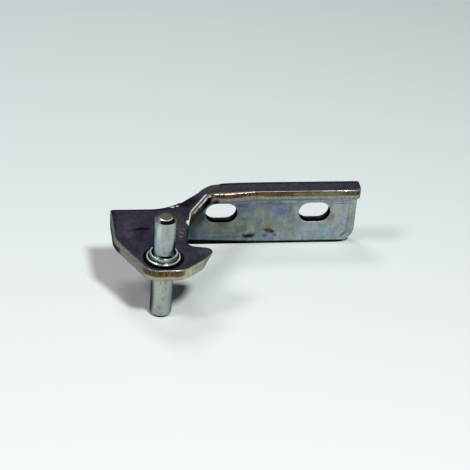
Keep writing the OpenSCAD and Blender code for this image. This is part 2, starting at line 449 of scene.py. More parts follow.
def outward(loop):
    """Unit normals that point away from the sheet, which lies on the left of the loop."""
    along = np.roll(loop, -1, 0) - np.roll(loop, 1, 0)
    along /= np.linalg.norm(along, axis=1)[:, None]
    return np.stack([along[:, 1], -along[:, 0]], 1)


def inside(points, loop):
    """Which points lie inside a closed loop."""
    x, y = points[:, 0], points[:, 1]
    hit = np.zeros(len(points), bool)
    for (x0, y0), (x1, y1) in zip(loop, np.roll(loop, -1, 0)):
        crosses = (y0 > y) != (y1 > y)
        at = x0 + (y - y0) * (x1 - x0) / (y1 - y0 if y1 != y0 else 1e-12)
        hit ^= crosses & (x < at)
    return hit


def in_sheet(points, loops):
    """Which points lie inside the outline and outside its holes."""
    keep = inside(points, loops[0])
    for hole in loops[1:]:
        keep &= ~inside(points, hole)
    return keep


def face_net(loops, step):
    """Points and triangles that fill the sheet between its loops. The loops' own points come first."""
    low, high = loops[0].min(0), loops[0].max(0)
    xs = np.arange(low[0] + step / 2, high[0], step)
    ys = np.arange(low[1] + step / 2, high[1], step)
    grid = np.array([(x + (step / 2 if j % 2 else 0), y) for j, y in enumerate(ys) for x in xs])
    rim = np.concatenate(loops)
    gap = np.sqrt(((grid[:, None, :] - rim[None, :, :]) ** 2).sum(2).min(1))
    points = np.concatenate([rim, grid[in_sheet(grid, loops) & (gap > step * RIM_GAP)]])
    edges, start = [], 0
    for loop in loops:
        edges += [(start + i, start + (i + 1) % len(loop)) for i in range(len(loop))]
        start += len(loop)
    out, _, faces, origin, _, _ = delaunay_2d_cdt([Vector(p) for p in points], edges, [], 1, 1e-7, True)
    faces = np.array(faces)
    middle = np.array([tuple(p) for p in out])[faces].mean(1)
    to_given = np.array([o[0] for o in origin])
    return points, to_given[faces[in_sheet(middle, loops)]]


def rise(value, start, end):
    """Soft step from nothing at the start to one at the end."""
    part = np.clip((value - start) / (end - start), 0, 1)
    return part * part * (3 - 2 * part)


def edge_shape(s, loop, outer):
    """The roll's width and depth, the tear's swell and the foot's draw at each point of a loop, in mm."""
    x, y = loop.T
    width = np.full(len(loop), s.roll_width / MM)
    depth = np.full(len(loop), s.roll_depth / MM)
    swell, draw = np.zeros((2, len(loop)))
    if outer:
        neck = rise(x, 7.9, 8.6) * rise(-x, -36.0, -21.0) * rise(y, 20.5, 26.0) * rise(-y, -37.5, -36.8)
        wing = rise(-x, 11.5, 12.8) * rise(-y, -25.2, -22.5) * rise(y, 5.0, 8.0)
        width += neck * s.neck_roll / MM + wing * s.wing_roll / MM
        depth += neck * s.neck_roll / MM * 0.62 + wing * s.wing_roll / MM * 0.5
        swell += s.tear / MM * rise(-x, 11.0, 12.8) * rise(-y, -28.0, -20.0) * rise(y, 2.0, 9.0)
        draw += s.tip_draw / MM * rise(x, 10.5, 15.5) * rise(-y, -6.2, -5.0)
    return width, depth, swell, draw


def edge_rows(s, width, depth, swell, draw):
    """Rows of a punched edge from the top face down to the lower one: inset and depth in mm."""
    t, burr = s.thickness / MM, s.burr / MM
    rows = [(width + RIM_STRIP, depth * 0)]
    rows += [(width * (1 - math.sin(a)), -depth * (1 - math.cos(a))) for a in np.radians(range(0, 91, 15))]
    for k in (0.2, 0.35, 0.5, 0.65, 0.8, 0.92):
        low = depth + (t - burr - depth) * k
        rows.append((draw * k - swell * math.sin(math.pi * k ** 1.4), -low))
    for a in np.radians(range(0, 91, 30)):
        rows.append((draw + burr * (1 - math.cos(a)), depth * 0 - t + burr * (1 - math.sin(a))))
    return rows + [(draw + burr + RIM_STRIP, depth * 0 - t)]


def blank_mesh(s, loops):
    """The flat blank as one closed mesh with rolled edges, and the finish's guides on its points."""
    thick = s.thickness / MM
    normals = [outward(loop) for loop in loops]
    rows = [edge_rows(s, *edge_shape(s, loop, k == 0)) for k, loop in enumerate(loops)]
    verts, faces, bases = [], [], []
    for row, level, turn in ((0, 0.0, 1), (-1, -thick, -1)):
        rims = [loop - normal * section[row][0][:, None] for loop, normal, section in zip(loops, normals, rows)]
        net, tris = face_net(rims, s.mesh_step / MM)
        bases.append(len(verts))
        verts += [(x, y, level) for x, y in net]
        faces += [tuple(bases[-1] + i for i in tri[::turn]) for tri in tris.tolist()]
    start = 0
    for loop, normal, section in zip(loops, normals, rows):
        count = len(loop)
        rings = [range(base + start, base + start + count) for base in bases]
        for inset, depth in section[1:-1]:
            rings.insert(-1, range(len(verts), len(verts) + count))
            verts += [(x, y, z) for (x, y), z in zip(loop - normal * inset[:, None], depth)]
        for upper, lower in zip(rings, rings[1:]):
            for i in range(count):
                j = (i + 1) % count
                faces.append((upper[i], lower[i], lower[j], upper[j]))
        start += count

    # Each point learns how far it is from the punched edge, and which place on which loop is the nearest.
    verts = np.array(verts)
    rim = np.concatenate(loops)
    steps = [np.linalg.norm(np.roll(loop, -1, 0) - loop, axis=1) for loop in loops]
    lengths = np.concatenate([np.concatenate([[0], np.cumsum(step)[:-1]]) for step in steps])
    owner = np.concatenate([np.full(len(loop), k) for k, loop in enumerate(loops)])
    gaps, near = [], []
    for chunk in np.array_split(verts[:, :2], max(1, len(verts) // 4000)):
        gap = ((chunk[:, None, :] - rim[None, :, :]) ** 2).sum(2)
        gaps += gap.min(1).tolist()
        near += gap.argmin(1).tolist()
    mesh = bpy.data.meshes.new("bracket_blank")
    mesh.from_pydata(((verts + (0, 0, thick)) * MM).tolist(), [], faces)
    guides = {"inset": np.sqrt(gaps), "run": lengths[near], "hole": owner[near] > 0}
    guides["through"] = -verts[:, 2] / thick
    for name, values in guides.items():
        layer = mesh.attributes.new(name, "FLOAT", "POINT")
        layer.data.foreach_set("value", values.astype(np.float32))
    mesh.update()
    return mesh


# Geometry trees.

# The trees' inputs have the names of the sizes in the sidebar. Only the seed and the leaf's thickness are extra.
BEND_INPUTS = (
    "Thickness", "Bend radius", "Bend line", "Bend length", "Bend swell", "Relief", "Bend end sink",
    "Bend end reach", "Ripple", "Seed",
)
PIN_INPUTS = (
    "Stub radius", "Seat radius", "Upper end", "Lower end", "Upper chamfer width", "Upper chamfer height",
    "Lower chamfer", "Collar radius", "Collar height", "Collar bevel", "Step radius", "Step height", "Groove",
    "Leaf thickness",
)


def geometry_tree(name, numbers, counts=()):
    """A geometry tree with inputs for the mesh, the numbers, the counts and the material."""
    tree = bpy.data.node_groups.new(name, "GeometryNodeTree")
    tree.interface.new_socket("Geometry", in_out="OUTPUT", socket_type="NodeSocketGeometry")
    kinds = {"Geometry": "Geometry", **dict.fromkeys(numbers, "Float"), **dict.fromkeys(counts, "Int")}
    for label, kind in {**kinds, "Material": "Material"}.items():
        tree.interface.new_socket(label, in_out="INPUT", socket_type="NodeSocket" + kind)
    t = Tree(tree)
    return t, t.add("NodeGroupInput").outputs


def dress(t, shape, material):
    """Ends a geometry tree: the shape is shaded smooth, made real and given its material."""
    smooth = t.out("GeometryNodeSetShadeSmooth", {"Geometry": shape})
    real = t.out("GeometryNodeRealizeInstances", {"Geometry": smooth})
    t.add("NodeGroupOutput", {0: t.out("GeometryNodeSetMaterial", {"Geometry": real, "Material": material})})
    return t.tree


def fold_tree():
    """Bends the flat blank along a line."""
    t, into = geometry_tree("Bend the blank", BEND_INPUTS)
    thick, inner, line, length, swell, relief, sink, reach, ripple, seed = (into[name] for name in BEND_INPUTS)
    x, y, z = t.axes(t.out("GeometryNodeInputPosition"))
    past = t.less(y, line)
    part = t.math("DIVIDE", past, length, clamp=True)
    angle = t.times(part, math.pi / 2)
    outer = t.plus(thick, inner)
    depth = t.less(z, thick)
    # The outside of the bend stands out a little, and less so at its free end.
    away = t.math("ABSOLUTE", t.less(x, relief))
    fade = t.math("EXPONENT", t.times(t.math("DIVIDE", away, reach), -1.0))
    hump = t.math("SINE", t.times(t.math("POWER", part, 0.6), math.pi))
    outside = t.plus(1.0, t.math("DIVIDE", depth, thick))
    bulge = t.times(hump, outside, t.less(swell, t.times(fade, sink)))
    wave = t.times(t.less(t.noise(None, WAVE_SCALE, 1.0, seed), 0.5), ripple)
    radius = t.plus(outer, t.plus(depth, bulge, wave))
    new_y = t.plus(line, t.math("MINIMUM", past, 0.0), t.times(radius, t.math("SINE", angle)))
    new_z = t.plus(t.less(thick, outer), t.times(radius, t.math("COSINE", angle)))
    new_z = t.less(new_z, t.most(t.less(past, length), 0.0))
    bent = {"Geometry": into["Geometry"], "Position": t.place(x, new_y, new_z)}
    return dress(t, t.out("GeometryNodeSetPosition", bent), into["Material"])


def turning_tree():
    """Turns the pin's half section about its axis."""
    t, into = geometry_tree("Turn the pin", PIN_INPUTS, ["Segments"])
    stub, seat, top, low, wide, tall, lead, *rest = (into[name] for name in PIN_INPUTS)
    collar, collar_h, bevel, step, step_h, groove, leaf = rest
    plus, less = t.plus, t.less
    ledge = plus(leaf, collar_h)
    foot = plus(ledge, step_h)
    half = t.times(groove, 0.5)
    # The half section from the lower end to the upper one: radius, height and rounding in mm.
    section = [
        (0.0, low, 0.0),
        (less(stub, lead), low, 0.15),
        (stub, plus(low, lead), 0.3),
        (stub, 0.0, 0.02),
        (seat, 0.0, 0.02),
        (seat, leaf, 0.0),
        (less(collar, bevel), leaf, 0.05),
        (collar, plus(leaf, bevel), 0.1),
        (collar, ledge, 0.34),
        (plus(step, groove), ledge, 0.06),
        (plus(step, half), less(ledge, groove), 0.05),
        (step, less(ledge, half), 0.05),
        (step, foot, 0.3),
        (plus(stub, groove), foot, 0.08),
        (plus(stub, half), less(foot, groove), 0.04),
        (stub, less(foot, half), 0.05),
        (stub, less(top, tall), 0.25),
        (less(stub, wide), top, 0.3),
        (0.0, top, 0.0),
    ]
    index = t.out("GeometryNodeInputIndex")

    def chosen(kind, values):
        """The value that goes with the point's number."""
        node = t.add("GeometryNodeIndexSwitch", data_type=kind)
        while len(node.index_switch_items) < len(section):
            node.index_switch_items.new()
        for k, value in enumerate([index, *values]):
            t.feed(node.inputs[k], value)
        return node.outputs[0]

    spots = [t.place(r, None, z) for r, z, _ in section]
    points = t.out("GeometryNodePoints", {"Count": len(section), "Position": chosen("VECTOR", spots)})
    line = t.out("GeometryNodePointsToCurves", {0: points})
    radii = chosen("FLOAT", [radius * MM for _, _, radius in section])
    corners = {"Curve": line, "Count": 5, "Radius": radii, "Limit Radius": True}
    rounded = t.out("GeometryNodeFilletCurve", corners, mode="POLY")
    size_of = t.add("GeometryNodeAttributeDomainSize", {"Geometry": rounded}, component="CURVE")
    columns = plus(into["Segments"], 1)
    grid = t.out("GeometryNodeMeshGrid", {"Vertices X": size_of.outputs["Point Count"], "Vertices Y": columns})
    row = t.math("FLOOR", t.math("DIVIDE", plus(index, 0.5), columns))
    column = less(index, t.times(row, columns))
    read = {"Geometry": rounded, "Value": t.out("GeometryNodeInputPosition"), "Index": row}
    radius, _, height = t.axes(t.out("GeometryNodeSampleIndex", read, data_type="FLOAT_VECTOR", domain="POINT"))
    angle = t.times(t.math("DIVIDE", column, into["Segments"]), 2 * math.pi)
    turned = t.place(t.times(radius, t.math("COSINE", angle)), t.times(radius, t.math("SINE", angle)), height)
    moved = t.out("GeometryNodeSetPosition", {"Geometry": grid, "Position": turned})
    merged = t.out("GeometryNodeMergeByDistance", {"Geometry": moved, "Distance": 0.002 * MM})
    return dress(t, merged, into["Material"])


def named_sizes(group):
    """A property group's values under their names in the sidebar."""
    return {group.bl_rna.properties[key].name: getattr(group, key) for key in type(group).__annotations__}


def run_tree(name, mesh, tree, values):
    """Runs a geometry tree on a mesh and returns the result as a plain object."""
    piece = link(name, mesh)
    modifier = piece.modifiers.new("shape", "NODES")
    modifier.node_group = tree
    for item in tree.interface.items_tree:
        if item.in_out == "INPUT" and item.name != "Geometry":
            modifier[item.identifier] = values[item.name]
    bpy.context.view_layer.update()
    graph = bpy.context.evaluated_depsgraph_get()
    seen = piece.evaluated_get(graph)
    shaped = bpy.data.meshes.new_from_object(seen, preserve_all_data_layers=True, depsgraph=graph)
    piece.modifiers.remove(modifier)
    piece.data = shaped
    shaped.name = name
    return piece


def finish_normals(piece, turn_out=False):
    """Keeps flats flat beside the rounded edges, after joining doubles and turning faces out if asked to."""
    work = bmesh.new()
    work.from_mesh(piece.data)
    if turn_out:
        bmesh.ops.remove_doubles(work, verts=work.verts, dist=DOUBLE_GAP)
        bmesh.ops.recalc_face_normals(work, faces=work.faces)
    open_edges = sum(1 for e in work.edges if len(e.link_faces) != 2)
    work.to_mesh(piece.data)
    work.free()
    if open_edges:
        raise RuntimeError(f"{piece.name} has {open_edges} open edges")
    piece.modifiers.new("flats", "WEIGHTED_NORMAL").keep_sharp = True


# Materials.


# Stains on the flange, some of them painted shade and shadow lines under the lip and neck: place along X, drop
# below the leaf's top, half width and height, turn, tone, part.
FLANGE_STAINS = (
    (37.5, 8.8, 11, 3, 0, "violet", 0.28),
    (33, 8.6, 2.6, 1.3, -10, "blue", 0.5),
    (42.6, 10.4, 2.8, 1.5, 15, "blue", 0.65),
    (37, 10.4, 1, 2.4, 20, "pink", 0.3),
    (45.2, 9.5, 0.9, 2, 5, "violet", 0.6),
    (28.5, 8.6, 1.6, 3.4, 0, "violet", 0.35),
    (32, 13, 3.4, 1.2, 0, "teal", 0.35),
    (35.5, 14.5, 1.2, 2.5, 12, "violet", 0.3),
    (24.5, 16.3, 9.5, 1.2, 0, "olive", 0.55),
    (22, 18, 5.5, 0.6, 0, "violet", 0.5),
    (24.5, 19.7, 9.5, 0.9, 0, "teal", 0.5),
    (14.2, 18.4, 1.8, 2.2, 0, "teal", 0.6),
    (46.2, 15.6, 2.8, 2, 0, "olive", 0.6),
    (42, 15, 1.6, 1.8, 0, "blue", 0.3),
    (55, 18.2, 7.5, 2, 0, "ice", 0.6),
    (50.5, 15.8, 3.6, 1.4, 0, "ice", 0.45),
    (61, 11.5, 2.6, 6, 0, "cream", 0.5),
    (54, 14.7, 4.6, 0.8, 0, "cream", 0.45),
    # These two thin teal lines below the lip: painted shadow lines of its lower edge.
    (62, 6.75, 5, 0.22, 0, "teal", 0.75),
    (62, 7.6, 5, 0.22, 0, "teal", 0.6),
    (64.6, 13, 0.4, 5.5, 0, "teal", 0.45),
    (63.4, 19.3, 0.6, 1.9, 42, "teal", 0.7),
    (17.2, 12.2, 1.5, 3, 10, "soot_and_shade", 0.6),
    # Painted shade below the neck.
    (13, 13, 5, 9, 0, "soot_and_shade", 0.5),
    (29.6, 12.4, 1.4, 2.4, 0, "soot_and_shade", 0.1),
    # These four: painted shade under the lip, darkest at its left end.
    (21.4, 6.6, 1.8, 1.5, 0, "soot_and_shade", 0.9),
    (29, 7.6, 3, 1.2, 0, "soot_and_shade", 0.35),
    (41, 7.6, 9, 1.2, 0, "blue", 0.45),
    (41, 7.4, 9, 1, 0, "soot_and_shade", 0.22),
    (45.8, 12.4, 2.2, 2.2, 0, "violet", 0.4),
    (46, 15.6, 2.6, 1.3, 0, "cream", 0.32),
    (52, 17, 3.2, 1.8, 0, "cream", 0.32),
    (29.6, 16.2, 2.4, 2, 0, "soot_and_shade", 0.22),
    (15, 18.6, 2.4, 2.4, 0, "soot_and_shade", 0.32),
    (24.5, 14.6, 4.2, 0.7, 0, "soot_and_shade", 0.3),
    (59.2, 12.4, 1.2, 2.2, 0, "soot_and_shade", 0.35),
    (38.7, 16.2, 2.4, 1.8, 0, "gold", 0.45),
    (39, 17.2, 1.6, 0.85, 15, "soot_and_shade", 0.8),
    (39.1, 17.3, 1.3, 0.7, 15, "rust", 0.35),
    (24.7, 15.8, 1.8, 1, 0, "soot_and_shade", 0.2),
    (31.2, 11.4, 1.7, 1.6, 0, "ice", 0.3),
    (40.2, 17.5, 0.9, 0.8, 0, "soot_and_shade", 0.75),
    (32.8, 19.4, 2.8, 1.3, -15, "soot_and_shade", 0.95),
    (38, 19.3, 1.1, 0.6, 0, "soot_and_shade", 0.5),
    (41, 19, 1.2, 0.7, 20, "soot_and_shade", 0.5),
    (14, 21.2, 4, 1.1, 0, "soot_and_shade", 0.7),
)
# Stains on the leaf and neck, some of them painted reflections and highlights: place along X and Y, half width,
# half length, turn, tone, part.
LEAF_STAINS = (
    (-9, 17, 3.4, 8, 8, "violet", 0.12),
    (-3, 11, 4.6, 9, 0, "leaf_dark", 0.55),
    (-5, 15.7, 3, 0.8, 4, "soot_and_shade", 0.85),
    (-1.4, 17, 1.2, 0.8, 0, "rust", 0.45),
    (-9.5, 12.5, 2.2, 2.6, 0, "rust", 0.18),
    # Brownish-grey zone with pink and pale specks beside the pin, this line and the next three: painted
    # reflection of the pin.
    (6.3, 17, 2.9, 9.5, 0, "umber", 0.75),
    (7, 13.2, 0.7, 1, 30, "pink", 0.3),
    (6.4, 11.2, 0.5, 0.6, 0, "pink", 0.35),
    (7.8, 15.1, 0.4, 0.5, 0, "cream", 0.25),
    # Dark patch on the neck: painted reflection.
    (10.8, 30.5, 3, 4.2, -45, "soot_and_shade", 0.6),
    (14.5, 34.2, 2.2, 2.6, -45, "violet", 0.1),
    # Reddish band where the neck meets the lip: painted reflection.
    (19.5, 38.6, 4, 1.4, 20, "rust", 0.3),
    # Two painted highlights on the back edge.
    (5.7, 27.75, 0.85, 0.4, 0, "painted_highlight", 1),
    (7.3, 28.25, 0.6, 0.34, 0, "painted_highlight", 0.9),
    (12.5, 2.6, 2.6, 2.4, 0, "teal", 0.25),
)
# Bright bare places on the rolled edge, painted as highlights and glints: place, reach and part.
BARE_AND_GLINT_PLACES = (
    ((9.75, 18.2, 3.2), (0.75, 1.5, 1), 1),
    ((-3.1, -6.2, 3.3), (0.8, 1, 0.7), 0.55),
    ((3.6, -6.1, 3.3), (2, 1.2, 0.6), 0.35),
)
# Stains on the lip's front edge, one of them painted shade: place along X, drop below the leaf's top, half width
# and height, tone, part.
LIP_STAINS = (
    (25, 1.55, 5, 0.55, "soot_and_shade", 0.6),
    # Painted shade in the corner under the left end of the lip.
    (20.4, 3, 1.7, 1.4, "soot_and_shade", 0.97),
    (37, 1, 4, 0.65, "rust", 0.85),
    (47, 1.1, 3.2, 0.6, "gold", 0.6),
    (55.5, 1.2, 6.5, 0.75, "olive", 0.75),
    (63.5, 1.3, 3.8, 0.6, "umber", 0.6),
)
# Tints of the film on the flange: where each lies on a cloudy value, and the tint.
FILM = (
    (0.28, (0.78, 0.96, 1.25)),
    (0.40, (0.98, 0.92, 1.14)),
    (0.49, (1.0, 1.0, 1.0)),
    (0.58, (1.12, 1.10, 0.84)),
    (0.70, (0.84, 1.04, 1.06)),
)


def new_material(name):
    material = bpy.data.materials.new(name)
    return material, empty_tree(material)


def in_mm(t):
    """The place on the piece, in millimetres."""
    return t.stretched(t.add("ShaderNodeTexCoord").outputs["Object"], 1 / MM, 1 / MM, 1 / MM)


def from_axis(t, at):
    """How far a place is from the pin's axis."""
    return t.length(t.stretched(at, 1.0, 1.0, 0.0))


def reach_of(t, at, middle, reach, turn=(0, 0, 0)):
    """How far a place is from a middle, as a share of the reach."""
    angles = tuple(math.radians(a) for a in turn)
    return t.length(t.out("ShaderNodeMapping", {0: at, 1: middle, 2: angles, 3: reach}, vector_type="TEXTURE"))


def stain(t, base, at, middle, reach, tone, part, turn=(0, 0, 0)):
    """Lays one soft-edged stain over a colour."""
    return t.paint(base, tone, t.fall(reach_of(t, at, middle, reach, turn), 0.35, 1.15, part))


def plated(material, t, base, rough, height, strength, distance):
    """Ends a material as a metal with fine bumps."""
    bump = t.out("ShaderNodeBump", {"Strength": strength, "Distance": distance * MM, "Height": height})
    inputs = {"Base Color": base, "Metallic": 1.0, "Roughness": rough, "Normal": bump}
    inputs["Specular Tint"] = GRAZING_TINT
    t.add("ShaderNodeOutputMaterial", {"Surface": t.out("ShaderNodeBsdfPrincipled", inputs)})
    return material


def sheet_material(c, s):
    """Zinc with a blotchy passivation, painted dark on top as a reflection, and a punched edge that is bare,
    torn and rusty, with painted highlights and shade.
    """
    material, t = new_material("plated_sheet")
    smooth, fall, within, times, paint, noise = t.smooth, t.fall, t.within, t.times, t.paint, t.noise
    at = in_mm(t)
    x, y, z = t.axes(at)
    drift = t.add("ShaderNodeTexNoise", {"Vector": at, "Scale": 0.4, "Detail": 2.0}).outputs["Color"]
    drift = t.stretched(t.vector("SUBTRACT", drift, (0.5, 0.5, 0.5))[0], 2.6, 2.6, 2.6)
    loose = t.vector("ADD", at, drift)[0]
    guides = (t.add("ShaderNodeAttribute", attribute_name=name) for name in ("through", "run", "hole", "inset"))
    through, run, hole, inset = (guide.outputs["Fac"] for guide in guides)
    thick = s.thickness / MM
    bottom = thick - s.drop / MM
    face = (s.bend_line + s.bend_radius) / MM

    cloud = smooth(noise(loose, 0.16, 3.0, 1.0), 0.35, 0.66)
    mottle = noise(at, 1.0, 3.0, 2.0, 0.6)
    grain = t.plus(times(mottle, 0.7), times(noise(at, 2.6, 2.0, 3.0, 0.6), 0.3))
    along_x = noise(t.stretched(at, 0.12, 1.1, 1.1), 1.6, 3.0, 4.0, 0.6)

    # Top of the leaf, neck and lip, and on over the bend, painted dark as the reflection of dark surroundings.
    lip = smooth(y, 33.0, 38.0)
    rim = t.most(within(y, 26.0, 28.5, 0.4), fall(x, -12.7, -12.2))
    top = paint(c.leaf, c.leaf_dark, cloud, 0.55)
    top = paint(top, c.lip, lip, 0.75)
    top = paint(top, c.leaf_dark, lip, smooth(along_x, 0.52, 0.64, 0.0, 0.6))
    top = paint(top, c.umber, lip, fall(along_x, 0.36, 0.48, 0.30))
    # Dark rim along the back and left of the leaf: painted reflection where the roll faces away.
    top = paint(top, c.rim, rim, fall(x, 2.5, 5.0), 0.75)
    for px, py, wide, long, turn, tone, part in LEAF_STAINS:
        where = loose if wide > 1 else at
        top = stain(t, top, where, (px, py, thick), (wide, long, 1.2), getattr(c, tone), part, (0, 0, turn))
    # Near-black ring on the leaf round the collar: painted contact shadow and reflection of the collar.
    top = paint(top, c.soot_and_shade, fall(from_axis(t, at), 5.7, 6.5))

    # Front of the flange, brighter towards its free end.
    bright = smooth(t.plus(x, smooth(cloud, 0.0, 1.0, -4.0, 4.0)), -2.0, 60.0)
    tint = noise(t.stretched(loose, 1.0, 1.0, 0.7), 0.26, 3.0, 5.0, 0.55)
    streak = noise(t.stretched(loose, 0.55, 1.0, 0.14), 1.3, 3.0, 8.0, 0.55)
    side = t.mix(bright, c.zinc_dark, c.zinc_light)
    side = t.mix(1.0, side, t.ramp(tint, FILM), "MULTIPLY")
    side = t.shade(side, smooth(streak, 0.36, 0.64, 0.84, 1.16))
    for px, drop, wide, high, turn, tone, part in FLANGE_STAINS:
        where = loose if min(wide, high) > 0.7 else at
        middle = (px, face, thick - drop)
        side = stain(t, side, where, middle, (wide, 2.2, high), getattr(c, tone), part, (0, turn, 0))
    # Near-black band along the flange's lower edge, wider at the left: the dark burr with a painted contact
    # shadow.
    foot = t.plus(z, smooth(x, 12.0, 40.0, -0.9, 0.0))
    side = paint(side, c.soot_and_shade, fall(foot, bottom + 0.60, bottom + 1.25))

    # Punched edge: rolled above, torn and brown in the middle, burnished below.
    rows = t.plus(through, times(t.less(noise(at, 0.9, 3.0, 6.0, 0.6), 0.5), 0.22))
    tear_at = t.place(run, times(z, 0.25))
    tears = noise(tear_at, 1.5, 4.0, 7.0, 0.7)
    beads = smooth(noise(tear_at, 1.3, 2.0, 9.0, 0.6), 0.40, 0.56, 0.12, 1.0)
    back = smooth(y, 33.0, 34.0)
    boss = times(within(x, -5.4, 4.6, 1.8), fall(y, -3.5, -2.0))
    neck = times(within(x, 7.2, 19.5, 0.6), within(y, 6.5, 34.4, 0.8))
    left_lip = times(back, fall(x, 33.0, 37.0))
    dim = times(back, within(x, 33.5, 53.0, 2.0))
    torn = t.mix(smooth(tears, 0.40, 0.60), c.rust, c.torn)
    torn = paint(torn, c.gold, smooth(tears, 0.58, 0.70, 0.0, 0.8))
    moss = t.mix(smooth(tears, 0.40, 0.56), c.moss_dark, c.moss)
    torn = paint(torn, moss, smooth(x, 43.0, 49.0), back, 0.8)
    brown = t.mix(smooth(tears, 0.36, 0.50), c.brown_dark, c.brown)
    brown = paint(brown, c.brown_light, smooth(tears, 0.54, 0.66))
    lobe = t.mix(smooth(x, 7.0, 14.0), c.lobe, c.lobe_tip)
    lobe = paint(lobe, c.lobe_torn, smooth(tears, 0.44, 0.60, 0.0, 0.6))
    # Where the rolled edge turns bright and bare: painted highlights along the neck and parts of the lip, and
    # the glints in BARE_AND_GLINT_PLACES.
    bare_and_glint = t.most(
        times(within(x, 8.6, 17.5, 1.0), smooth(y, 16.0, 17.0), beads),
        times(within(x, 24.6, 31.8, 1.0), back, beads),
        times(smooth(x, 57.0, 62.0, 0.0, 0.9), back, beads),
        times(back, beads, smooth(x, 20.0, 30.0, 0.12, 0.02)),
        *(fall(reach_of(t, at, middle, reach), 0.4, 1.1, part) for middle, reach, part in BARE_AND_GLINT_PLACES),
    )
    rolled = t.shade(t.mix(bare_and_glint, c.worn, c.bare), smooth(dim, 0.0, 1.0, 1.0, 0.50))
    rolled = paint(rolled, c.soot_and_shade, within(x, 6.6, 9.6, 0.4), within(y, 5.0, 16.0, 1.0))
    cut = t.shade(t.mix(left_lip, c.cut, c.blush), smooth(tears, 0.36, 0.60, 1.15, 0.75))
    edge = t.mix(smooth(rows, 0.05, 0.14), rolled, torn)
    for tone, *parts in (
        (cut, smooth(t.plus(rows, times(left_lip, 0.10)), 0.46, 0.62)),
        (c.slate, back, smooth(through, 0.77, 0.86), smooth(x, 52.0, 60.0, 0.9, 0.4)),
        (lobe, smooth(x, 3.5, 6.5), fall(y, 5.0, 6.0, 0.92), smooth(through, 0.02, 0.10)),
        (c.wing, fall(x, -6.5, -4.5), smooth(through, 0.02, 0.10, 0.2, 0.9)),
        # Dark lower half of the wing's left edge: painted shade.
        (c.wing_shade, fall(x, -12.4, -11.4), smooth(through, 0.30, 0.50)),
        (c.neck, neck, smooth(through, 0.12, 0.20)),
        # Near-black lower part of the neck's edge towards the lip: painted shade under the lip's corner.
        (c.soot_and_shade, neck, smooth(through, 0.18, 0.26), smooth(y, 29.5, 32.5)),
        (brown, boss, smooth(rows, 0.06, 0.14), fall(rows, 0.56, 0.70, 0.95)),
        (c.straw, boss, smooth(rows, 0.60, 0.68), smooth(rows, 0.84, 0.96, 0.9, 0.2)),
    ):
        edge = paint(edge, tone, *parts)
    for px, drop, wide, high, tone, part in LIP_STAINS:
        edge = stain(t, edge, at, (px, 36.1, thick - drop), (wide, 2.4, high), getattr(c, tone), part)
    slot = t.mix(smooth(through, 0.30, 0.70), c.slot, c.soot_and_shade)
    edge = paint(edge, slot, t.math("GREATER_THAN", hole, 0.02))

    # The three together, with painted highlight lines along the rolled slope of the neck.
    wall = times(smooth(through, 0.010, 0.05), fall(through, 0.965, 0.995))
    slope = times(neck, fall(t.less(y, x), 19.4, 20.2), smooth(y, 17.0, 18.5), fall(through, 0.20, 0.26))
    start = t.less(inset, smooth(y, 20.5, 26.0, 0.14, 1.10))
    # The dark top and the lighter flange front are one zinc: the difference between them is painted reflection.
    base = t.mix(smooth(through, 0.5, 0.9), top, side)
    for tone, *parts in (
        (edge, wall),
        (c.slope, slope, fall(start, 0.05, 0.15)),
        # Painted highlight lines along the neck's rolled slope, here and in the next line.
        (c.painted_highlight, slope, within(start, -0.17, 0.17, 0.07), smooth(beads, 0.1, 1.0, 0.5, 1.0)),
        (c.painted_highlight, slope, fall(inset, 0.26, 0.40), smooth(y, 23.0, 26.0), beads),
        # Painted highlight where the neck's edge turns.
        (c.painted_highlight, fall(reach_of(t, at, (9.85, 18.9, 3.2), (0.95, 1.5, 1.1)), 0.75, 1.1)),
    ):
        base = paint(base, tone, *parts)
    fine = times(smooth(through, 0.5, 0.9, 0.18, 0.11), smooth(grain, 0.32, 0.68, -1.0, 1.0))
    base = t.shade(base, t.plus(fine, 1.0))

    rough = t.plus(smooth(mottle, 0.3, 0.7, 0.24, 0.38), times(wall, smooth(rows, 0.1, 0.3, 0.0, 0.12)))
    rough = t.less(rough, times(wall, bare_and_glint, fall(rows, 0.1, 0.3, 0.16)))
    rough = t.most(rough, times(smooth(hole, 0.0, 0.05), smooth(hole, 0.5, 1.0, 0.6, 0.5)))
    height = t.plus(grain, times(wall, tears, smooth(rows, 0.06, 0.16, 0.1, 0.8)))
    return plated(material, t, base, rough, height, strength=0.5, distance=0.05)


